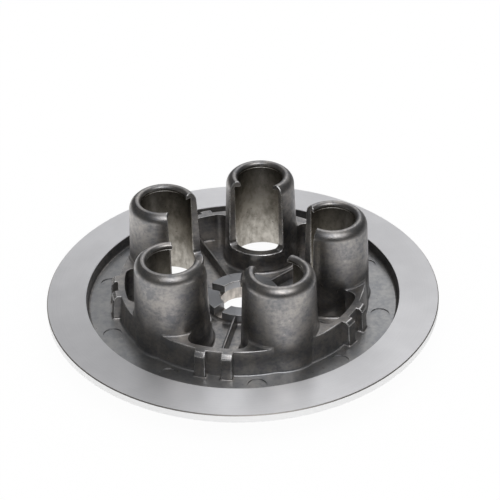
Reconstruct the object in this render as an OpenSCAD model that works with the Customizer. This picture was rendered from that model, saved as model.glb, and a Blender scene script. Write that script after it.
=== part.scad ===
// Clutch pressure plate: one die casting, drawn zone by zone so that each zone can be named,
// measured and changed. The zones meet face to face and never overlap. Millimetres.
// Zero height is the foot of the hub. The plate axis is Z and the spring towers point up.

/* [Friction ring] */
// Outer diameter of the friction ring
plate_d = 138; // [134:1:180]
// Width of the machined face that presses on the clutch pack
face_w = 13.7; // [8:0.1:14]
// Height of the machined face above the hub foot
face_h = 9.4; // [9:0.1:14]
// Thickness of the friction ring at its rim
ring_t = 3.1; // [2:0.1:3.6]
// Chamfer on the edges of the rim
rim_chamfer = 0.3; // [0.1:0.05:0.8]
// Lean of the cast wall inside the ring, in degrees
ring_draft = 9; // [0:1:15]
// Width of the thick root of the ring, measured on the back
ring_root_w = 4.6; // [3:0.1:6]

/* [Floor and pan] */
// Drop from the machined face to the outer floor
floor_drop = 3.8; // [3:0.1:4.5]
// Thickness of the outer floor
floor_t = 2.9; // [2:0.1:4]
// Drop from the machined face to the pan floor
pan_drop = 5.6; // [5:0.1:6.5]
// Thickness of the pan floor
pan_t = 3; // [2:0.1:3.5]
// Radius of the fillets at the foot of the outer walls
floor_fillet = 0.8; // [0.3:0.1:1.5]
// Radius of the fillets on the pan floor
pan_fillet = 1.2; // [0.5:0.1:2]
// Diameter of the ejector pin marks on the outer floor
pin_mark_d = 6.6; // [3:0.1:7]
// Depth of the ejector pin marks
pin_mark_depth = 0.3; // [0.1:0.05:0.5]

/* [Spring towers] */
// Diameter of the circle through the tower axes
tower_circle_d = 63.4; // [60:0.2:70]
// Height of the tower crest above the machined face
tower_rise = 28.5; // [20:0.5:40]
// Outer diameter of a tower where its shoulder starts
tower_d = 24.5; // [23.5:0.1:26]
// Lean of the tower skin, in degrees
tower_draft = 2.4; // [0:0.1:2.8]
// Radius of the rounded shoulder
shoulder_r = 4.2; // [3:0.1:5]
// Diameter of the spring bore
spring_bore_d = 20.1; // [17:0.1:21]
// Lead-in chamfer at the foot of the spring bore
spring_lead = 1.4; // [0.5:0.1:2]
// Diameter of the mouth in the top of the tower
mouth_d = 17; // [14:0.1:18]
// Radius that rounds the inner edge of the mouth
mouth_round = 1; // [0.5:0.1:1.4]
// Height of the crest above the spring seat under the lip
lip_t = 2.15; // [1.6:0.05:4]
// Opening angle of the slot that faces the plate axis, in degrees
slot_angle = 100; // [60:1:120]
// Height of the slot sill above the machined face
slot_sill = 2.3; // [1:0.1:8]
// Radius in the bottom corners of the slot
slot_corner_r = 1.8; // [0.5:0.1:3]

/* [Walls, lugs and ribs] */
// Outer diameter of the curved walls at their top
wall_d = 86.4; // [85:0.1:88]
// Thickness of the curved walls at their top
wall_t = 1.9; // [1.2:0.1:3]
// Height of the curved walls above the machined face
wall_rise = 5.6; // [3:0.1:10]
// Radius of the hollow round where the top of a wall meets a tower
wall_top_round = 0.8; // [0.4:0.1:1.2]
// Lean of the outer face of the curved walls, in degrees
wall_draft = 5.2; // [0:0.1:7]
// Radius where a curved wall flares out into a tower
wall_corner_r = 3.6; // [1:0.1:6]
// Width of one guide lug
lug_w = 3.8; // [2:0.1:5]
// Gap between the two lugs of a pair
lug_gap = 5.3; // [3:0.1:8]
// How far a lug stands out from the top of the wall
lug_proud = 2.9; // [1.5:0.1:3.5]
// Chamfer on the top outer edge of a lug
lug_chamfer = 1.1; // [0.4:0.1:1.4]
// Lean of the outer face of a lug, in degrees
lug_draft = 2.5; // [0:0.1:4]
// Radius of the hollow round at the foot of the lugs
lug_foot_r = 0.6; // [0.3:0.1:0.8]
// Thickness of the pad on the wall between two lugs
lug_pad_t = 0.45; // [0.3:0.05:1]
// Height of a rib above the pan floor
rib_h = 3.45; // [2:0.05:5]
// Width of a rib at its rounded top
rib_top_w = 1.1; // [0.8:0.1:2]
// Width of a rib at its foot
rib_foot_w = 2; // [1.2:0.1:3]

/* [Hub] */
// Outer diameter of the hub
hub_d = 26; // [22:0.2:30]
// Diameter of the hub bore
hub_bore_d = 15.9; // [12:0.1:18]
// Drop from the machined face to the thrust pads
hub_drop = 1.75; // [0.5:0.05:3]
// Width of the oil notches between the thrust pads
notch_w = 3.5; // [2:0.1:5]
// Depth of the oil notches
notch_depth = 2.8; // [1:0.1:3]
// Turn of the oil notches from the tower lines, in degrees
notch_turn = 6; // [0:1:12]
// Chamfer on the edges of the hub foot and bore
hub_chamfer = 0.4; // [0.2:0.1:0.8]

/* [Hidden] */
$fn = 128;
tower_count = 5;
pitch = 360 / tower_count;
// Overshoot of the cutting shapes
cut = 1;
// Drop of the round at the foot of a tower below that of a wall, so that the two cross clearly
round_drop = 0.03;

// Heights above the hub foot
face_z = face_h;
ring_back_z = face_z - ring_t;
floor_z = face_z - floor_drop;
floor_under_z = floor_z - floor_t;
pan_z = face_z - pan_drop;
pan_under_z = pan_z - pan_t;
pad_z = face_z - hub_drop;
notch_z = pad_z - notch_depth;
wall_z = face_z + wall_rise;
sill_z = face_z + slot_sill;
crest_z = face_z + tower_rise;
seat_z = crest_z - lip_t;

// Radii about the plate axis
plate_r = plate_d / 2;
face_r = plate_r - face_w;
floor_r = face_r - (face_z - floor_z - floor_fillet) * tan(ring_draft) - floor_fillet;
root_r = floor_r + ring_root_w;
wall_r = wall_d / 2;
wall_in_r = wall_r - wall_t;
wall_base_r = wall_r + (wall_z - pan_z) * tan(wall_draft);
wall_floor_r = wall_r + (wall_z - floor_z) * tan(wall_draft);
// Outer face of a lug, under its chamfer and at the floor
lug_r = wall_r + lug_proud;
lug_floor_r = lug_r + (wall_z - lug_chamfer - floor_z) * tan(lug_draft);
hub_r = hub_d / 2;
hub_bore_r = hub_bore_d / 2;
tower_circle_r = tower_circle_d / 2;

// Radii about a tower axis
tower_r = tower_d / 2;
bore_r = spring_bore_d / 2;
mouth_r = mouth_d / 2;
// The mouth rounding touches the shoulder arc from inside
mouth_round_z = crest_z - mouth_round;
shoulder_in = tower_r - shoulder_r;
shoulder_z = mouth_round_z
  - sqrt(pow(shoulder_r - mouth_round, 2) - pow(mouth_r + mouth_round - shoulder_in, 2));
foot_r = tower_r + (shoulder_z - pan_under_z) * tan(tower_draft);
pan_skin_r = tower_r + (shoulder_z - pan_z) * tan(tower_draft);
floor_skin_r = tower_r + (shoulder_z - floor_z) * tan(tower_draft);
wall_top_skin_r = tower_r + (shoulder_z - wall_z) * tan(tower_draft);

// Centre of the flare arc between a wall and a tower, seen from the plate axis. The arc runs
// slightly into the tower skin, so the end of the wall stays a clear edge
flare_r = wall_in_r - wall_corner_r;
flare_bite = 0.06;
flare_reach = wall_top_skin_r + wall_corner_r - flare_bite;
flare_turn = acos((pow(flare_r, 2) + pow(tower_circle_r, 2) - pow(flare_reach, 2))
  / (2 * flare_r * tower_circle_r));
// Direction of that centre seen from the tower axis, from the outward line
flare_side = acos((pow(flare_r, 2) - pow(tower_circle_r, 2) - pow(flare_reach, 2))
  / (2 * tower_circle_r * flare_reach));

// Turn left free between the end of the round at the foot of a wall and the start of the flare
round_stop = 1.5;

function polar(r, a) = [r * cos(a), r * sin(a)];

// Flat shape that fills an inside corner at the origin with a hollow quarter round, and reaches
// back into the wall and the floor that it joins
module cove(r, back = 0) {
  difference() {
    translate([-back, -back]) square(r + back);
    translate([r, r]) circle(r = r);
  }
}

module at_tower(i) {
  rotate([0, 0, pitch * (i - 1)]) translate([tower_circle_r, 0, 0]) children();
}

module between_towers(i) {
  rotate([0, 0, pitch * (i - 0.5)]) children();
}

module disc(r, z0, z1) {
  translate([0, 0, z0]) cylinder(r = r, h = z1 - z0);
}

// Outside of one tower without its bore: foot, leaning skin, shoulder and rounded crest
module tower_skin_profile() {
  polygon([[0, pan_under_z], [foot_r, pan_under_z], [tower_r, shoulder_z], [0, shoulder_z]]);
  intersection() {
    translate([shoulder_in, shoulder_z]) circle(r = shoulder_r);
    translate([0, shoulder_z]) square([tower_r, shoulder_r]);
  }
}

module tower_skin() {
  rotate_extrude() tower_skin_profile();
}

// Spring bore with its lead-in, spring seat and mouth
module tower_hollow_profile() {
  polygon([[0, pan_under_z - cut], [bore_r + spring_lead + cut, pan_under_z - cut],
    [bore_r, pan_under_z + spring_lead], [bore_r, seat_z], [mouth_r, seat_z],
    [mouth_r, mouth_round_z], [0, mouth_round_z]]);
  difference() {
    polygon([[0, mouth_round_z], [mouth_r + mouth_round, mouth_round_z],
      [mouth_r + mouth_round, crest_z], [mouth_r + 2 * mouth_round, crest_z],
      [tower_r, crest_z + cut], [0, crest_z + cut]]);
    translate([mouth_r + mouth_round, mouth_round_z]) circle(r = mouth_round);
  }
}

// One side of the slot that opens the tower towards the plate axis, seen along that side
module slot_section() {
  difference() {
    translate([0, sill_z]) square([foot_r, crest_z - sill_z + cut]);
    translate([0, sill_z]) cove(slot_corner_r, cut);
  }
}

// Space of the whole slot: two straight cuts that cross in front of the bore
module slot_cutter() {
  for (side = [0, 1]) mirror([0, side, 0]) rotate([0, 0, 180 - slot_angle / 2])
    rotate([90, 0, 90]) translate([0, 0, mouth_r / 2]) linear_extrude(2 * foot_r) slot_section();
}

module spring_tower(i) {
  color("silver") at_tower(i) difference() {
    rotate_extrude() difference() {
      tower_skin_profile();
      tower_hollow_profile();
    }
    slot_cutter();
  }
}

// Outline of the walls seen from outside: a cone that widens to the pan
module wall_cone() {
  translate([0, 0, pan_z]) cylinder(r1 = wall_base_r, r2 = wall_r, h = wall_z - pan_z);
}

// Plan of the wall between two towers, with its middle on +X
module wall_plan() {
  half = pitch / 2;
  open_half = half - flare_turn;
  difference() {
    polygon([polar(tower_circle_r, half), polar(flare_r, open_half), polar(flare_r, -open_half),
      polar(tower_circle_r, -half), polar(2 * wall_r, -half), polar(2 * wall_r, half)]);
    for (side = [-1, 1]) translate(polar(flare_r, side * open_half)) circle(r = wall_corner_r);
    intersection() {
      circle(r = wall_in_r);
      polygon([[0, 0], polar(2 * wall_r, open_half), polar(2 * wall_r, -open_half)]);
    }
  }
}

// Hollow rounds on top of a wall, where it runs into the two towers
module wall_top_rounds() {
  intersection() {
    for (side = [-1, 1]) rotate([0, 0, side * pitch / 2]) translate([tower_circle_r, 0, wall_z])
      rotate_extrude() translate([wall_top_skin_r, 0]) cove(wall_top_round, wall_top_round);
    translate([0, 0, pan_z]) linear_extrude(wall_z - pan_z + wall_top_round) wall_plan();
    disc(wall_r, pan_z, wall_z + wall_top_round);
  }
}

module curved_wall(i) {
  round_half = pitch / 2 - flare_turn - round_stop;
  color("silver") between_towers(i) difference() {
    union() {
      intersection() {
        rotate([0, 0, 180]) wall_cone();
        union() {
          translate([0, 0, pan_z]) linear_extrude(wall_z - pan_z) wall_plan();
          rotate([0, 0, -round_half]) rotate_extrude(angle = 2 * round_half) pan_wall_round(wall_t / 2);
        }
      }
      wall_top_rounds();
    }
    for (side = [-1, 1]) rotate([0, 0, side * pitch / 2]) translate([tower_circle_r, 0, 0]) tower_skin();
  }
}

// Foot of one lug with a hollow round on three sides
module lug_foot(side) {
  foot_end = lug_floor_r - lug_foot_r * tan(lug_draft) + lug_foot_r;
  intersection() {
    rotate_extrude() difference() {
      translate([wall_floor_r, floor_z]) square([foot_end - wall_floor_r, lug_foot_r]);
      translate([foot_end, floor_z + lug_foot_r]) circle(r = lug_foot_r);
    }
    translate([0, side * (lug_gap + lug_w) / 2, floor_z]) rotate([90, 0, 90])
      linear_extrude(face_r) difference() {
        translate([-lug_w / 2 - lug_foot_r, 0]) square([lug_w + 2 * lug_foot_r, lug_foot_r]);
        for (end = [-1, 1]) translate([end * (lug_w / 2 + lug_foot_r), lug_foot_r]) circle(r = lug_foot_r);
      }
  }
}

// Two chamfered lugs on the outside of a wall, joined by a thin pad
module guide_lugs(i) {
  slab_h = wall_z - floor_z;
  color("silver") between_towers(i) difference() {
    union() {
      intersection() {
        rotate_extrude()
          polygon([[wall_floor_r, floor_z], [lug_floor_r, floor_z], [lug_r, wall_z - lug_chamfer],
            [lug_r - lug_chamfer, wall_z], [wall_r, wall_z]]);
        for (side = [-1, 1]) translate([0, side * (lug_gap + lug_w) / 2 - lug_w / 2, floor_z])
          cube([face_r, lug_w, slab_h]);
      }
      for (side = [-1, 1]) lug_foot(side);
      intersection() {
        rotate_extrude()
          polygon([[wall_floor_r, floor_z], [wall_floor_r + lug_pad_t, floor_z],
            [wall_r + lug_pad_t, wall_z], [wall_r, wall_z]]);
        translate([0, -(lug_gap + lug_w) / 2, floor_z]) cube([face_r, lug_gap + lug_w, slab_h]);
      }
    }
    rotate_extrude() outer_wall_round();
  }
}

// Ring section of the outer floor with the hollow rounds at the foot of the walls
module outer_floor_section() {
  inner_r = wall_in_r;
  translate([inner_r, floor_under_z]) square([floor_r - inner_r, floor_t]);
  outer_wall_round();
  translate([wall_base_r, floor_under_z]) mirror([0, 1]) cove(floor_fillet, wall_t / 2);
}

module outer_wall_round() {
  translate([wall_floor_r, floor_z]) cove(floor_fillet, wall_t / 2);
}

module outer_floor() {
  mark_r = (wall_floor_r + floor_r) / 2;
  // Half of the arc over which a tower bulges out of the walls, with some to spare
  bulge_half = 5 + acos((pow(wall_floor_r, 2) - pow(tower_circle_r, 2) - pow(floor_skin_r, 2))
    / (2 * tower_circle_r * floor_skin_r));
  color("silver") difference() {
    union() {
      rotate_extrude() outer_floor_section();
      for (i = [1 : tower_count]) at_tower(i)
        rotate([0, 0, -bulge_half]) rotate_extrude(angle = 2 * bulge_half)
          translate([floor_skin_r, floor_z - round_drop]) cove(floor_fillet, floor_fillet);
    }
    disc(wall_base_r, pan_under_z - cut, pan_z);
    wall_cone();
    for (i = [1 : tower_count]) at_tower(i) tower_skin();
    for (k = [0 : 2 * tower_count - 1])
      rotate([0, 0, pitch / 4 + k * pitch / 2]) translate([mark_r, 0, floor_z - pin_mark_depth])
        cylinder(d = pin_mark_d, h = pin_mark_depth + cut);
  }
}

module rib_section() {
  flat_h = rib_h - rib_top_w / 2;
  polygon([[-rib_foot_w / 2, 0], [rib_foot_w / 2, 0], [rib_top_w / 2, flat_h], [-rib_top_w / 2, flat_h]]);
  intersection() {
    translate([0, flat_h]) circle(d = rib_top_w);
    translate([-rib_top_w / 2, flat_h]) square([rib_top_w, rib_top_w]);
  }
}

module pan_rib(i) {
  color("silver") between_towers(i) intersection() {
    translate([0, 0, pan_z]) rotate([90, 0, 90]) linear_extrude(wall_in_r + cut) rib_section();
    difference() {
      disc(wall_in_r, 0, wall_z);
      disc(hub_r, 0, wall_z);
      rotate_extrude() pan_hub_round();
      rotate_extrude() pan_wall_round();
    }
  }
}

// Section of the pan floor from the hub to the foot of the walls, with its hollow rounds
module pan_section() {
  translate([hub_r, pan_under_z]) square([wall_base_r - hub_r, pan_t]);
  pan_hub_round();
}

module pan_hub_round() {
  translate([hub_r, pan_z]) cove(min(pan_fillet, notch_z - pan_z));
}

module pan_wall_round(back = 0) {
  translate([wall_in_r, pan_z]) mirror([1, 0]) cove(pan_fillet, back);
}

// Hollow round at the foot of a tower, on the side that stands on the pan
module tower_foot_round() {
  rotate([0, 0, flare_side]) rotate_extrude(angle = 360 - 2 * flare_side)
    translate([pan_skin_r, pan_z]) cove(pan_fillet, pan_fillet);
}

module pan_floor() {
  color("silver") difference() {
    union() {
      rotate_extrude() pan_section();
      for (i = [1 : tower_count]) at_tower(i) tower_foot_round();
    }
    for (i = [1 : tower_count]) at_tower(i) tower_skin();
  }
}

// Half of the ring's cross-section: machined flange, cast inner wall and thick root
module friction_ring() {
  wall_foot = floor_r + floor_fillet;
  color("gainsboro") rotate_extrude() {
    polygon([[floor_r, floor_under_z], [root_r, floor_under_z], [root_r, ring_back_z],
      [plate_r - rim_chamfer, ring_back_z], [plate_r, ring_back_z + rim_chamfer],
      [plate_r, face_z - rim_chamfer], [plate_r - rim_chamfer, face_z], [face_r, face_z],
      [wall_foot, floor_z + floor_fillet], [wall_foot, floor_z], [floor_r, floor_z]]);
    translate([wall_foot, floor_z]) mirror([1, 0]) cove(floor_fillet);
    translate([root_r, ring_back_z]) mirror([0, 1]) cove(ring_back_z - floor_under_z);
  }
}

module hub_ring() {
  color("silver") rotate_extrude()
    polygon([[hub_bore_r + hub_chamfer, 0], [hub_r - hub_chamfer, 0], [hub_r, hub_chamfer],
      [hub_r, notch_z], [hub_bore_r, notch_z], [hub_bore_r, hub_chamfer]]);
}

// One thrust pad between two oil notches
module thrust_pad(i) {
  color("gainsboro") rotate([0, 0, notch_turn + pitch * (i - 0.5)]) difference() {
    intersection() {
      rotate_extrude()
        polygon([[hub_bore_r, notch_z], [hub_r, notch_z], [hub_r, pad_z],
          [hub_bore_r + hub_chamfer / 2, pad_z], [hub_bore_r, pad_z - hub_chamfer / 2]]);
      translate([0, 0, notch_z]) linear_extrude(notch_depth)
        polygon([[0, 0], polar(2 * hub_r, -pitch / 2), polar(2 * hub_r, pitch / 2)]);
    }
    for (side = [-1, 1])
      rotate([0, 0, side * pitch / 2]) translate([0, -notch_w / 2, notch_z - cut])
        cube([hub_d, notch_w, notch_depth + 2 * cut]);
  }
}

friction_ring();
outer_floor();
pan_floor();
spring_tower(1);  // spring_tower_1
spring_tower(2);  // spring_tower_2
spring_tower(3);  // spring_tower_3
spring_tower(4);  // spring_tower_4
spring_tower(5);  // spring_tower_5
curved_wall(1);  // curved_wall_1
curved_wall(2);  // curved_wall_2
curved_wall(3);  // curved_wall_3
curved_wall(4);  // curved_wall_4
curved_wall(5);  // curved_wall_5
guide_lugs(1);  // guide_lugs_1
guide_lugs(2);  // guide_lugs_2
guide_lugs(3);  // guide_lugs_3
guide_lugs(4);  // guide_lugs_4
guide_lugs(5);  // guide_lugs_5
pan_rib(1);  // pan_rib_1
pan_rib(2);  // pan_rib_2
pan_rib(3);  // pan_rib_3
pan_rib(4);  // pan_rib_4
pan_rib(5);  // pan_rib_5
hub_ring();
thrust_pad(1);  // thrust_pad_1
thrust_pad(2);  // thrust_pad_2
thrust_pad(3);  // thrust_pad_3
thrust_pad(4);  // thrust_pad_4
thrust_pad(5);  // thrust_pad_5
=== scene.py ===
import bpy
import bmesh
import math
from mathutils import Matrix, Vector
from mathutils.bvhtree import BVHTree


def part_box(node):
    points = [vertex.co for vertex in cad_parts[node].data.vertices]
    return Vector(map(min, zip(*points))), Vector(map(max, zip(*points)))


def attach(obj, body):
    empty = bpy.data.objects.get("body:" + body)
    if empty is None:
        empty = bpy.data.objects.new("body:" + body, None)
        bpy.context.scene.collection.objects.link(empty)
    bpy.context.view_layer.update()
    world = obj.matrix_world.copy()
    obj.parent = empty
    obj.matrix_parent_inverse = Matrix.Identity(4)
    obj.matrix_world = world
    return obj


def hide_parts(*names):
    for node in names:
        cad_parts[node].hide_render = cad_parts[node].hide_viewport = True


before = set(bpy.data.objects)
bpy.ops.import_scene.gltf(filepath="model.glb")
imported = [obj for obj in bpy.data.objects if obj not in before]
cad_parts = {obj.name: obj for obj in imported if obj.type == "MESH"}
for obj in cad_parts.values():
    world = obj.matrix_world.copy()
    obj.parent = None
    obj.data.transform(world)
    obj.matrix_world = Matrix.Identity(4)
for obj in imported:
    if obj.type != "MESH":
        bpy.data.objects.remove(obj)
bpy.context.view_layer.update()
scene = bpy.context.scene
print("frame loaded")

# the viewpoint: angles in degrees, lengths in metres
shot = {
    "aim": (0.00506, 0.02436, 0.0094),
    "elevation": 34.38,
    "azimuth": 4.95,  # turned from +Y towards +X
    "roll": -1.383,
    "distance": 0.61859,
    "lens": 121.85,  # this and the sensor are in millimetres
    "sensor": 36,
    "nearest": 0.01,
}


def makeCamera(p):
    e, a, r = (math.radians(p[k]) for k in ("elevation", "azimuth", "roll"))
    ahead = Vector((math.sin(a) * math.cos(e), math.cos(a) * math.cos(e), -math.sin(e)))
    level = Vector((math.cos(a), -math.sin(a), 0))
    lift = level.cross(ahead)
    right = level * math.cos(r) + lift * math.sin(r)
    up = lift * math.cos(r) - level * math.sin(r)
    data = bpy.data.cameras.new("camera")
    data.lens = p["lens"]
    data.sensor_width = p["sensor"]
    data.clip_start = p["nearest"]
    cam = bpy.data.objects.new("camera", data)
    scene.collection.objects.link(cam)
    place = Matrix((right, up, -ahead)).transposed().to_4x4()
    place.translation = Vector(p["aim"]) - ahead * p["distance"]
    cam.matrix_world = place
    scene.camera = cam


makeCamera(shot)
print("camera placed")


# small helpers for the node trees
def newMaterial(name):
    mat = bpy.data.materials.new(name)
    mat.use_nodes = True
    mat.node_tree.nodes.clear()
    return mat, mat.node_tree


def feed(tree, socket, value):
    # a socket takes a link from another node, or a plain value
    if isinstance(value, bpy.types.NodeSocket):
        tree.links.new(value, socket)
    else:
        socket.default_value = value


def addNode(tree, kind, x=0, y=0, **sockets):
    node = tree.nodes.new(kind)
    node.location = (x, y)
    for key, value in sockets.items():
        feed(tree, node.inputs[key.replace("_", " ")], value)
    return node


def combine(tree, how, a, b, x, y):
    node = addNode(tree, "ShaderNodeMath", x, y)
    node.operation = how
    feed(tree, node.inputs[0], a)
    feed(tree, node.inputs[1], b)
    return node.outputs[0]


def combineVectors(tree, how, a, b, x, y):
    node = addNode(tree, "ShaderNodeVectorMath", x, y)
    node.operation = how
    feed(tree, node.inputs[0], a)
    feed(tree, node.inputs[1], b)
    return node.outputs["Value" if how == "DOT_PRODUCT" else "Vector"]


def spread(tree, value, low, high, outLow, outHigh, x, y):
    node = addNode(tree, "ShaderNodeMapRange", x, y, Value=value, From_Min=low, From_Max=high,
                   To_Min=outLow, To_Max=outHigh)
    return node.outputs["Result"]


def mixNumber(tree, factor, a, b, x, y):
    node = addNode(tree, "ShaderNodeMix", x, y, Factor=factor)
    feed(tree, node.inputs[2], a)
    feed(tree, node.inputs[3], b)
    return node.outputs[0]


def mixColour(tree, factor, a, b, x, y):
    node = addNode(tree, "ShaderNodeMix", x, y, Factor=factor)
    node.data_type = "RGBA"
    feed(tree, node.inputs[6], a)
    feed(tree, node.inputs[7], b)
    return node.outputs[2]


def mixShader(tree, factor, a, b, x, y):
    node = addNode(tree, "ShaderNodeMixShader", x, y)
    for socket, value in zip(node.inputs, (factor, a, b)):
        feed(tree, socket, value)
    return node.outputs[0]


def noise(tree, coords, p, x, y):
    scale, detail, rough = p
    node = addNode(tree, "ShaderNodeTexNoise", x, y, Vector=coords, Scale=scale, Detail=detail,
                   Roughness=rough)
    return node.outputs["Fac"]


def radiusFromAxis(tree, coords, x, y):
    flat = combineVectors(tree, "MULTIPLY", coords, (1, 1, 0), x, y)
    length = addNode(tree, "ShaderNodeVectorMath", x + 200, y)
    length.operation = "LENGTH"
    feed(tree, length.inputs[0], flat)
    return length.outputs["Value"]


def heightOf(tree, coords, x, y):
    return addNode(tree, "ShaderNodeSeparateXYZ", x, y, Vector=coords).outputs["Z"]


black = (0, 0, 0, 1)
white = (1, 1, 1, 1)

# as-cast skin: mottled grey, warm where it is pale, with fine grain and small dark pits
castLook = {
    "pale": (0.455, 0.43, 0.406, 1),
    "dull": (0.262, 0.262, 0.270, 1),
    "pit": (0.13, 0.125, 0.12, 1),
    "pitShare": 0.3,
    "roughness": (0.27, 0.40),  # where it is pale and where it is dull
    "metallic": 1.0,
    # scale, detail and roughness of each noise
    "cloud": (160.0, 3, 0.5),
    "mottle": (640.0, 4, 0.65),
    "pits": (900.0, 2, 0.5),
    "grain": (1500.0, 3, 0.7),
    # between these levels of the noise the tone, the pits and the roughness change
    "toneLevels": (0.80, 1.20),
    "pitLevels": (0.27, 0.34),
    "roughLevels": (0.3, 0.7),
    "reliefDepth": 0.000011,
    "unevenness": 1.5,  # height of the mottles against that of the grain
    "streak": 1.2,  # the mottles lie flat by this much
}

# the low walls with their lugs, dusted by the blasting, but not on the back
wallLook = {
    **castLook,
    "dust": (0.0030, 0.0045, 1.0, 0.97),  # from this height to that one it gets less metallic, between these
}

# the floor outside the walls, dusted just as much and more even in tone
floorLook = {**wallLook, "pale": (0.41, 0.405, 0.40, 1), "dull": (0.31, 0.315, 0.325, 1)}

# painted highlight: the rounded edges get a far paler colour, standing in for the light lines that they
# catch
edgeHighlightLook = {
    **castLook,
    "pale": (0.88, 0.865, 0.85, 1),
    "dull": (0.52, 0.515, 0.51, 1),
    "roughness": (0.24, 0.32),
}

# the hub, paler and warmer than the rest of the skin
hubLook = {
    **castLook,
    "pale": (0.62, 0.57, 0.52, 1),
    "dull": (0.36, 0.335, 0.31, 1),
    "cloud": (320.0, 3, 0.5),
    "streak": 0.5,
}

# inside of the spring bores: rougher and paler, brushed by the draft of the core, with painted shade that
# darkens it towards the lip
boreLook = {
    **castLook,
    "pale": (0.56, 0.53, 0.48, 1),
    "dull": (0.30, 0.28, 0.245, 1),
    "pit": (0.14, 0.13, 0.12, 1),
    "pitShare": 0.6,
    "roughness": (0.34, 0.48),
    "cloud": (110.0, 3, 0.5),
    "mottle": (520.0, 4, 0.65),
    "pits": (1000.0, 2, 0.5),
    "grain": (2600.0, 3, 0.7),
    "reliefDepth": 0.000014,
    "unevenness": 2.0,
    "streak": 0.6,
    "shade": (0.008, 0.034, 1.0, 0.34),  # painted shade: from this height to that one the colour darkens towards black, between these shares
}

# turned faces: fine circular tool marks round the plate axis
turnedLook = {
    "pale": (0.84, 0.835, 0.845, 1),
    "dull": (0.74, 0.735, 0.745, 1),
    "metallic": 0.90,
    "roughness": (0.36, 0.44),
    "anisotropy": 0.8,
    "markTurn": 0.25,  # a quarter turn, so that the light streaks across the marks
    "marks": (2200.0, 3, 0.8),
    "cloud": (90.0, 3, 0.5),
    "toneLevels": (0.7, 1.3),
    "roughLevels": (0.3, 0.7),
    "reliefDepth": 0.000004,
}

# painted shade: the pads are coloured far darker than the turned ring, standing in for the reflection that
# the towers block
shadedPadLook = {
    **turnedLook,
    "pale": (0.46, 0.465, 0.48, 1),
    "dull": (0.37, 0.375, 0.39, 1),
    "metallic": 1.0,
}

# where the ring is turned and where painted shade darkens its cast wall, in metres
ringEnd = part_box("friction_ring")[1]
ringZone = {
    "fromRadius": 0.05525,  # turned outside this radius and over this height, and cast elsewhere
    "fromHeight": 0.0064,
    "rimRadius": ringEnd.x - 0.00015,
    # painted reflection: the rim is coloured near white, standing in for the white floor that it mirrors
    "rimReflectionColour": (0.97, 0.97, 0.97, 1),
    "cornerRadius": ringEnd.x - 0.00032,  # painted shade: a dark line is coloured on the corner between the face and the rim
    "cornerHeight": ringEnd.z - 0.00032,
    "cornerShadeColour": (0.34, 0.32, 0.30, 1),
    "wallShadeHeight": (0.0045, 0.0055),  # between these heights painted shade darkens the inner wall more than the back
    "wallShadeShare": 0.5,
    "castRelief": 3.0,  # height of the cast grain against that of the tool marks
}


def castSurface(tree, coords, p, x, y):
    cloud = noise(tree, coords, p["cloud"], x, y + 400)
    drawn = combineVectors(tree, "MULTIPLY", coords, (1, 1, p["streak"]), x - 150, y + 200)
    mottle = noise(tree, drawn, p["mottle"], x, y + 200)
    pits = noise(tree, coords, p["pits"], x, y)
    grain = noise(tree, coords, p["grain"], x, y - 200)
    both = combine(tree, "ADD", cloud, mottle, x + 200, y + 300)
    blot = spread(tree, both, *p["toneLevels"], 0, 1, x + 400, y + 300)
    base = mixColour(tree, blot, p["dull"], p["pale"], x + 600, y + 300)
    pitted = spread(tree, pits, *p["pitLevels"], p["pitShare"], 0, x + 400, y)
    colour = mixColour(tree, pitted, base, p["pit"], x + 800, y + 200)
    smooth, dull = p["roughness"]
    rough = spread(tree, mottle, *p["roughLevels"], dull, smooth, x + 600, y)
    waves = combine(tree, "MULTIPLY", mottle, p["unevenness"], x + 400, y - 300)
    fine = combine(tree, "SUBTRACT", grain, pitted, x + 600, y - 200)
    relief = combine(tree, "ADD", fine, waves, x + 700, y - 300)
    return colour, rough, relief


def turnedSurface(tree, coords, radius, p, x, y):
    line = addNode(tree, "ShaderNodeCombineXYZ", x, y, X=radius)
    marks = noise(tree, line.outputs[0], p["marks"], x + 200, y)
    cloud = noise(tree, coords, p["cloud"], x + 200, y + 300)
    both = combine(tree, "ADD", marks, cloud, x + 400, y + 150)
    shade = spread(tree, both, *p["toneLevels"], 0, 1, x + 600, y + 150)
    colour = mixColour(tree, shade, p["dull"], p["pale"], x + 800, y + 200)
    rough = spread(tree, marks, *p["roughLevels"], *p["roughness"], x + 800, y)
    return colour, rough, marks


def finishMaterial(tree, colour, rough, relief, metallic, p, x, y):
    bump = addNode(tree, "ShaderNodeBump", x, y - 250, Distance=p["reliefDepth"], Height=relief)
    skin = addNode(tree, "ShaderNodeBsdfPrincipled", x + 300, y, Base_Color=colour, Metallic=metallic,
                   Roughness=rough, Normal=bump.outputs["Normal"])
    if "anisotropy" in p:
        turn = addNode(tree, "ShaderNodeTangent", x, y - 450)
        turn.direction_type = "RADIAL"
        turn.axis = "Z"
        feed(tree, skin.inputs["Tangent"], turn.outputs["Tangent"])
        feed(tree, skin.inputs["Anisotropic"], p["anisotropy"])
        feed(tree, skin.inputs["Anisotropic Rotation"], p["markTurn"])
    addNode(tree, "ShaderNodeOutputMaterial", x + 600, y, Surface=skin.outputs["BSDF"])


def castMaterial(name, p):
    mat, tree = newMaterial(name)
    coords = addNode(tree, "ShaderNodeTexCoord", -1400, 0).outputs["Object"]
    colour, rough, relief = castSurface(tree, coords, p, -1200, 0)
    metallic = p["metallic"]
    # painted shade: where a look asks for it, the colour is mixed with black higher up, standing in for the
    # shade under the lip
    if "shade" in p:
        tone = spread(tree, heightOf(tree, coords, -1200, 700), *p["shade"], -1000, 700)
        colour = mixColour(tree, tone, black, colour, -300, 400)
    if "dust" in p:
        metallic = spread(tree, heightOf(tree, coords, -1200, 900), *p["dust"], -1000, 900)
    finishMaterial(tree, colour, rough, relief, metallic, p, -100, 0)
    return mat


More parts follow.
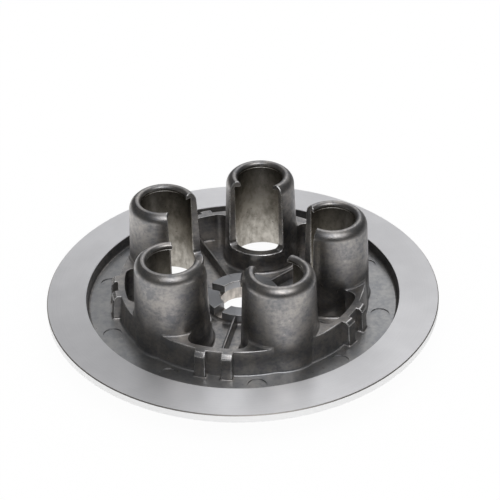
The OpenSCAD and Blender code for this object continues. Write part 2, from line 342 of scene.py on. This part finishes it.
def turnedMaterial(name, p):
    mat, tree = newMaterial(name)
    coords = addNode(tree, "ShaderNodeTexCoord", -1800, 0).outputs["Object"]
    radius = radiusFromAxis(tree, coords, -1600, 0)
    colour, rough, marks = turnedSurface(tree, coords, radius, p, -1200, 0)
    finishMaterial(tree, colour, rough, marks, p["metallic"], p, -100, 0)
    return mat


def ringMaterial(name, cast, turned, zone):
    # cast wall and back, turned face and rim, with painted shade on the inner wall and on the outer corner,
    # and a painted reflection on the rim
    mat, tree = newMaterial(name)
    coords = addNode(tree, "ShaderNodeTexCoord", -2400, 0).outputs["Object"]
    radius = radiusFromAxis(tree, coords, -2200, 300)
    height = heightOf(tree, coords, -2200, 0)
    wide = combine(tree, "GREATER_THAN", radius, zone["fromRadius"], -1900, 500)
    high = combine(tree, "GREATER_THAN", height, zone["fromHeight"], -1900, 350)
    mask = combine(tree, "MULTIPLY", wide, high, -1700, 450)
    castColour, castRough, castRelief = castSurface(tree, coords, cast, -1300, 900)
    # painted shade: the inner wall is mixed with black towards its top, so it is darker than the back
    within = combine(tree, "LESS_THAN", radius, zone["fromRadius"], -1900, 900)
    above = spread(tree, height, *zone["wallShadeHeight"], 0.0, 1.0 - zone["wallShadeShare"], -1900, 1100)
    shade = combine(tree, "MULTIPLY", within, above, -1700, 1000)
    castColour = mixColour(tree, shade, castColour, black, -900, 1000)
    turnColour, turnRough, turnMarks = turnedSurface(tree, coords, radius, turned, -1300, -500)
    # painted reflection: the outermost rim turns near white
    rimReflection = combine(tree, "GREATER_THAN", radius, zone["rimRadius"], -1300, 300)
    turnColour = mixColour(tree, rimReflection, turnColour, zone["rimReflectionColour"], -600, 100)
    # painted shade: the corner between the face and the rim is coloured dark
    edgeOut = combine(tree, "GREATER_THAN", radius, zone["cornerRadius"], -1300, 200)
    edgeUp = combine(tree, "GREATER_THAN", height, zone["cornerHeight"], -1300, 100)
    cornerShade = combine(tree, "MULTIPLY", edgeOut, edgeUp, -1100, 150)
    turnColour = mixColour(tree, cornerShade, turnColour, zone["cornerShadeColour"], -400, 100)
    colour = mixColour(tree, mask, castColour, turnColour, -200, 300)
    rough = mixNumber(tree, mask, castRough, turnRough, -200, 100)
    coarse = combine(tree, "MULTIPLY", castRelief, zone["castRelief"], -400, -150)
    relief = mixNumber(tree, mask, coarse, turnMarks, -200, -100)
    metallic = spread(tree, mask, 0.0, 1.0, cast["metallic"], turned["metallic"], -200, -300)
    finishMaterial(tree, colour, rough, relief, metallic, turned, 0, 0)
    return mat


# the lip of a tower, which is made larger than in the CAD, in metres and degrees
towerTop = round(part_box("spring_tower_1")[1].z, 6)
lipLook = {
    "axisX": 0.0317,  # the tower's axis
    "boreRadius": 0.0118,  # the wall of the spring bore lies within this radius of the axis
    # the lip stands over this height, from the mouth out to this radius
    "foot": towerTop - 0.0022,
    "mouthRadius": 0.0085,
    "outRadius": 0.01004,
    "reach": 1.1,  # as a share of that width, so that points at the very edge of the mouth count too
    # its round grows by two factors away from the crest's radius and height, inwards and down
    "crest": (0.0095, towerTop),
    "growth": (1.42, 1.5),
    "downFrom": towerTop - 0.00105,
    # its two ends reach this many degrees into the slot, and the turn fades out along the lip
    "endTurn": 6.0,
    "slotHalf": 50.0,
    "endFade": 45.0,
}

# pieces with rounded edges, in metres: the rounds fade out towards a neighbour and start at a height
castEdge = {"segments": 3, "fade": 0.0012, "fromHeight": 0.003, "slot": "cast_aluminium"}
softPieces = {
    "springTowers": {**castEdge, "node": "spring_tower", "width": 0.00035, "skin": "castSkin",
                     "lip": lipLook, "boreSkin": "boreSkin"},
    "curvedWalls": {**castEdge, "node": "curved_wall", "width": 0.00040, "fade": 0.005, "skin": "wallSkin"},
    "guideLugs": {**castEdge, "node": "guide_lugs", "width": 0.00035, "skin": "wallSkin"},
    "thrustPads": {"node": "thrust_pad", "width": 0.00012, "segments": 2, "fade": 0.0012, "fromHeight": 0.0,
                   "skin": "padFace", "slot": "machined_aluminium"},
}
copies = 5  # of each of them round the plate axis

# how the edges are found and rounded, in metres and degrees
softening = {
    "weld": 1e-7,  # points closer than this are one
    "flatAngle": 0.6,  # faces that turn by less are joined before the edges are rounded
    "edgeAngles": (32, 140),  # an edge that turns outwards by this much to that much is rounded
    "seamReach": 0.00015,  # a face is tested this far from an edge, for a neighbour closer than the gap
    "seamGap": 0.00003,
    "liningTilt": 0.15,  # a face that looks up by more isn't the wall of the bore
    "sharpAngle": 34,  # what still turns by more in the rounded piece is shaded sharp
}


def surfaceOf(names):
    # all faces of some nodes in one tree for nearest-point questions
    points, faces = [], []
    for name in names:
        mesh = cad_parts[name].data
        start = len(points)
        points += [v.co.copy() for v in mesh.vertices]
        faces += [[start + i for i in f.vertices] for f in mesh.polygons]
    return BVHTree.FromPolygons(points, faces)


def isCovered(loop, others):
    # true where the face of this loop lies on a neighbouring zone just beside the edge
    start, end = loop.vert.co, loop.link_loop_next.vert.co
    inward = loop.face.normal.cross(end - start).normalized()
    hit = others.find_nearest((start + end) / 2 + inward * softening["seamReach"])
    return hit[0] is not None and hit[3] < softening["seamGap"]


def growLip(bm, p):
    # angles are taken round the tower's axis, from the middle of the slot
    topRadius, topHeight = p["crest"]
    inwards, downwards = p["growth"]
    for v in bm.verts:
        away = (v.co.xy - Vector((p["axisX"], 0))).length
        share = (p["outRadius"] - away) / (p["outRadius"] - p["mouthRadius"])
        if v.co.z < p["foot"] or not 0 < share < p["reach"]:
            continue
        angle = math.atan2(v.co.y, p["axisX"] - v.co.x)
        near = 1 - (math.degrees(abs(angle)) - p["slotHalf"]) / p["endFade"]
        angle -= math.copysign(math.radians(p["endTurn"]) * share * max(0.0, min(1.0, near)), angle)
        if v.co.z > p["downFrom"]:
            v.co.z = topHeight - downwards * (topHeight - v.co.z)
        if away < topRadius:
            away = topRadius - inwards * (topRadius - away)
        v.co.x, v.co.y = p["axisX"] - away * math.cos(angle), away * math.sin(angle)


def markSoftEdges(bm, others, p):
    # the bevel's weight falls towards a neighbour and is nothing where the edge lies on one
    weight = bm.edges.layers.float.new("bevel_weight_edge")
    least, most = softening["edgeAngles"]
    soft = 0
    for edge in bm.edges:
        edge.smooth = True
        turn = math.degrees(edge.calc_face_angle_signed(0))
        middle = (edge.verts[0].co + edge.verts[1].co) / 2
        if len(edge.link_faces) != 2 or not least < turn < most or middle.z < p["fromHeight"]:
            continue
        if not any(isCovered(loop, others) for loop in edge.link_loops):
            edge[weight] = min(1.0, others.find_nearest(middle)[3] / p["fade"])
            soft += 1
    return soft


def markLining(bm, p):
    # the wall of the spring bore: close to the tower's axis and facing it
    inside = bm.faces.layers.int.new("inside")
    for face in bm.faces:
        middle = face.calc_center_median()
        out = Vector((middle.x - p["axisX"], middle.y, 0))
        facing = out.dot(face.normal) < 0 and face.normal.z < softening["liningTilt"]
        face[inside] = int(facing and out.length < p["boreRadius"])


def softenedObject(nodeName, p):
    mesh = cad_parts[nodeName].data.copy()
    bm = bmesh.new()
    bm.from_mesh(mesh)
    flat = math.radians(softening["flatAngle"])
    bmesh.ops.remove_doubles(bm, verts=bm.verts, dist=softening["weld"])
    bmesh.ops.dissolve_limit(bm, angle_limit=flat, verts=bm.verts, edges=bm.edges)
    if "lip" in p:
        growLip(bm, p["lip"])
        markLining(bm, p["lip"])
    others = surfaceOf([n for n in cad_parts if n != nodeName])
    soft = markSoftEdges(bm, others, p)
    bm.to_mesh(mesh)
    bm.free()
    print("edges softened:", nodeName, soft, "faces", len(mesh.polygons))
    obj = bpy.data.objects.new("softened", mesh)
    scene.collection.objects.link(obj)
    bevel = obj.modifiers.new("round", "BEVEL")
    bevel.limit_method = "WEIGHT"
    bevel.width = p["width"]
    bevel.segments = p["segments"]
    bevel.use_clamp_overlap = False
    bevel.harden_normals = False
    mesh.materials.append(None)  # the rounds get the second material slot, by which the tree finds them
    bevel.material = 1
    return obj


# one tree for everything that stands five times round the plate axis
def ringTree():
    tree = bpy.data.node_groups.new("ringRepeat", "GeometryNodeTree")
    face = tree.interface
    face.new_socket("Geometry", in_out="OUTPUT", socket_type="NodeSocketGeometry")
    face.new_socket("Geometry", in_out="INPUT", socket_type="NodeSocketGeometry")
    face.new_socket("Copies", in_out="INPUT", socket_type="NodeSocketInt")
    for name in ("Skin", "Bore Skin", "Edge Highlight Skin"):
        face.new_socket(name, in_out="INPUT", socket_type="NodeSocketMaterial")
    source = addNode(tree, "NodeGroupInput", -900, 0).outputs
    slotIndex = addNode(tree, "GeometryNodeInputMaterialIndex", -900, 400).outputs[0]
    rounded = combine(tree, "GREATER_THAN", slotIndex, 0.5, -700, 400)  # slot 0 is plain, slot 1 rounded
    # painted highlight: the rounds are marked here, so that they get the pale edge skin
    mark = addNode(tree, "GeometryNodeStoreNamedAttribute", -500, 400, Name="paintedEdgeHighlight",
                   Geometry=source["Geometry"])
    mark.data_type = "FLOAT"
    mark.domain = "FACE"
    feed(tree, mark.inputs["Value"], rounded)
    points = addNode(tree, "GeometryNodePoints", -600, 200, Count=source["Copies"])
    number = addNode(tree, "GeometryNodeInputIndex", -900, -300).outputs["Index"]
    part = combine(tree, "DIVIDE", number, source["Copies"], -700, -300)
    turn = combine(tree, "MULTIPLY", part, math.tau, -500, -300)
    spin = addNode(tree, "ShaderNodeCombineXYZ", -300, -300, Z=turn)
    place = addNode(tree, "GeometryNodeInstanceOnPoints", -100, 100, Points=points.outputs[0],
                    Instance=mark.outputs[0], Rotation=spin.outputs[0])
    real = addNode(tree, "GeometryNodeRealizeInstances", 100, 100, Geometry=place.outputs[0])
    shape = addNode(tree, "GeometryNodeSetMaterial", 300, 100, Geometry=real.outputs[0],
                    Material=source["Skin"])
    for x, name, kind, skin in ((500, "inside", "INT", "Bore Skin"), (700, "paintedEdgeHighlight", "FLOAT", "Edge Highlight Skin")):
        field = addNode(tree, "GeometryNodeInputNamedAttribute", x - 200, -150, Name=name)
        field.data_type = kind
        shape = addNode(tree, "GeometryNodeSetMaterial", x, 100, Geometry=shape.outputs[0],
                        Selection=field.outputs["Attribute"], Material=source[skin])
    addNode(tree, "NodeGroupOutput", 900, 100, Geometry=shape.outputs[0])
    return tree


def setInput(modifier, name, value):
    for item in modifier.node_group.interface.items_tree:
        if item.in_out == "INPUT" and item.name == name:
            modifier[item.identifier] = value


def ringPiece(pieceName, p, tree, skins):
    obj = softenedObject(p["node"] + "_1", p)
    ring = obj.modifiers.new("ring", "NODES")
    ring.node_group = tree
    setInput(ring, "Copies", copies)
    setInput(ring, "Skin", skins[p["skin"]])
    setInput(ring, "Bore Skin", skins[p.get("boreSkin", p["skin"])])
    setInput(ring, "Edge Highlight Skin", skins["edgeHighlightSkin"])
    mesh = bpy.data.meshes.new_from_object(obj.evaluated_get(bpy.context.evaluated_depsgraph_get()))
    bpy.data.objects.remove(obj)
    mesh.name = pieceName
    mesh.shade_smooth()
    mesh.set_sharp_from_angle(angle=math.radians(softening["sharpAngle"]))
    piece = bpy.data.objects.new(pieceName, mesh)
    scene.collection.objects.link(piece)
    even = piece.modifiers.new("even", "WEIGHTED_NORMAL")
    even.keep_sharp = True
    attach(piece, "root")
    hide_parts(*[f"{p['node']}_{i + 1}" for i in range(copies)])
    print(pieceName, len(mesh.polygons), "faces")


castLooks = {"castSkin": castLook, "boreSkin": boreLook, "edgeHighlightSkin": edgeHighlightLook, "hubSkin": hubLook,
             "floorSkin": floorLook, "wallSkin": wallLook}
skins = {name: castMaterial(name, look) for name, look in castLooks.items()}
skins["ringSkin"] = ringMaterial("ringSkin", castLook, turnedLook, ringZone)
skins["padFace"] = turnedMaterial("padFace", shadedPadLook)
nodeSkins = {"friction_ring": "ringSkin", "hub_ring": "hubSkin", "outer_floor": "floorSkin"}
for name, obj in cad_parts.items():
    obj.data.materials.clear()
    obj.data.materials.append(skins[nodeSkins.get(name, "castSkin")])
print("materials assigned")

repeatTree = ringTree()
for pieceName, p in softPieces.items():
    ringPiece(pieceName, p, repeatTree, skins)
print("edges softened")

# the set: a plain pale floor, a soft sky and two soft lamps, in metres and watts
studio = {
    "floorSize": 6.0,
    "floorColour": (0.93, 0.93, 0.93, 1),
    "floorHeight": -0.0001,  # just under the plate, so that the two faces do not flicker
    "floorWhite": 0.96,  # share of plain white that the camera and the metal see in the floor
    # in reflections the floor darkens from and to this far out, and this far towards one side
    "floorFade": (0.12, 0.50, 1.0, 0.35),
    "floorSide": (0.75, 0.66, 0.0),
    "sideFade": (0.035, 0.10, 1.0, 0.36),
    "skyForFloor": 1.0,
    "backward": (0.086, 0.996),  # from the object to the back horizon of the sky
    "horizon": 0.001,  # the sky below the horizon repeats the level just over it
    # level along the arc from the front horizon (0) over the top (0.5) to the back horizon (1)
    "skyStops": [(0.0, 0.02), (0.19, 0.03), (0.24, 2.95), (0.345, 2.95), (0.43, 0.10), (0.56, 0.22),
                 (0.67, 1.45), (0.77, 0.78), (0.84, 0.60), (1.0, 0.60)],
    "skyMiddle": 0.12,  # the sky is full here, and fades sideways from it
    "skySide": (0.04, 0.58, 0.08),  # from and to this far sideways, down to this level
    "skyCool": (0.97, 0.98, 1.0),
    "lamps": [
        {"name": "topSoft", "place": (0.1, 0.1, 1.1), "size": (0.7, 0.7), "watts": 0.8},
        {"name": "backSoft", "place": (0.42, 0.62, 0.52), "size": (0.7, 0.5), "watts": 0.35},
    ],
}


def seenByMetalOrGlass(tree, path, x, y):
    return combine(tree, "MAXIMUM", path["Is Glossy Ray"], path["Is Transmission Ray"], x, y)


def makeFloor(p):
    half, low = p["floorSize"] / 2, p["floorHeight"]
    corners = [(-half, -half, low), (half, -half, low), (half, half, low), (-half, half, low)]
    mesh = bpy.data.meshes.new("floor")
    mesh.from_pydata(corners, [], [(0, 1, 2, 3)])
    floor = bpy.data.objects.new("floor", mesh)
    scene.collection.objects.link(floor)
    mat, tree = newMaterial("paleFloor")
    path = addNode(tree, "ShaderNodeLightPath", -800, 200).outputs
    camera = path["Is Camera Ray"]
    seen = combine(tree, "MAXIMUM", camera, seenByMetalOrGlass(tree, path, -600, 300), -450, 300)
    share = combine(tree, "MULTIPLY", seen, p["floorWhite"], -300, 200)
    paint = addNode(tree, "ShaderNodeBsdfDiffuse", -200, 0, Color=p["floorColour"])
    coords = addNode(tree, "ShaderNodeTexCoord", -1200, -200).outputs["Object"]
    fade = spread(tree, radiusFromAxis(tree, coords, -1000, -200), *p["floorFade"], -600, -200)
    aside = combineVectors(tree, "DOT_PRODUCT", coords, p["floorSide"], -1000, -400)
    dim = spread(tree, aside, *p["sideFade"], -800, -400)
    both = combine(tree, "MULTIPLY", fade, dim, -500, -300)
    tone = combine(tree, "MAXIMUM", camera, both, -400, -200)
    glow = addNode(tree, "ShaderNodeEmission", -200, -200, Strength=tone)
    surface = mixShader(tree, share, paint.outputs[0], glow.outputs[0], 200, 0)
    addNode(tree, "ShaderNodeOutputMaterial", 400, 0, Surface=surface)
    mesh.materials.append(mat)


def skyColour(tree, p):
    coords = addNode(tree, "ShaderNodeTexCoord", -1400, 0).outputs["Generated"]
    bx, by = p["backward"]
    back = combineVectors(tree, "DOT_PRODUCT", coords, (-bx, -by, 0), -1200, 0)
    side = combineVectors(tree, "DOT_PRODUCT", coords, (by, -bx, 0), -1200, -300)
    upward = combine(tree, "MAXIMUM", heightOf(tree, coords, -1200, 300), p["horizon"], -1100, 300)
    arc = combine(tree, "ARCTAN2", upward, back, -1000, 200)
    ramp = addNode(tree, "ShaderNodeValToRGB", -800, 0, Fac=combine(tree, "DIVIDE", arc, math.pi, -900, 200))
    stops, elements = p["skyStops"], ramp.color_ramp.elements
    elements[0].position, elements[1].position = stops[0][0], stops[-1][0]
    for place, _ in stops[1:-1]:
        elements.new(place)
    for element, (_, level) in zip(elements, stops):
        element.color = tuple(level * c for c in p["skyCool"]) + (1,)
    low, high, level = p["skySide"]
    shift = combine(tree, "SUBTRACT", side, p["skyMiddle"], -1100, -300)
    beside = spread(tree, combine(tree, "ABSOLUTE", shift, 0, -1000, -300), low, high, 0, 1, -800, -300)
    return mixColour(tree, beside, ramp.outputs[0], (level, level, level, 1), -500, -100)


def makeSky(p):
    # the metal sees the soft sky, the camera plain white, and all else an even level
    world = bpy.data.worlds.new("softSky")
    scene.world = world
    world.use_nodes = True
    tree = world.node_tree
    tree.nodes.clear()
    path = addNode(tree, "ShaderNodeLightPath", -600, 400).outputs
    soft = addNode(tree, "ShaderNodeBackground", -200, 0, Color=skyColour(tree, p))
    plain = addNode(tree, "ShaderNodeBackground", -200, -200, Color=white, Strength=p["skyForFloor"])
    behind = addNode(tree, "ShaderNodeBackground", -200, 200, Color=white, Strength=1.0)
    metal = seenByMetalOrGlass(tree, path, -300, 400)
    first = mixShader(tree, metal, plain.outputs[0], soft.outputs[0], 0, 0)
    second = mixShader(tree, path["Is Camera Ray"], first, behind.outputs[0], 200, 0)
    addNode(tree, "ShaderNodeOutputWorld", 400, 0, Surface=second)


def makeLamps(p):
    for lamp in p["lamps"]:
        data = bpy.data.lights.new(lamp["name"], "AREA")
        data.shape = "RECTANGLE"
        data.size, data.size_y = lamp["size"]
        data.energy = lamp["watts"]
        obj = bpy.data.objects.new(lamp["name"], data)
        obj.location = lamp["place"]
        obj.rotation_euler = (-Vector(lamp["place"])).to_track_quat("-Z", "Y").to_euler()
        scene.collection.objects.link(obj)


makeFloor(studio)
makeSky(studio)
makeLamps(studio)
scene.view_settings.view_transform = "Standard"
print("set built")
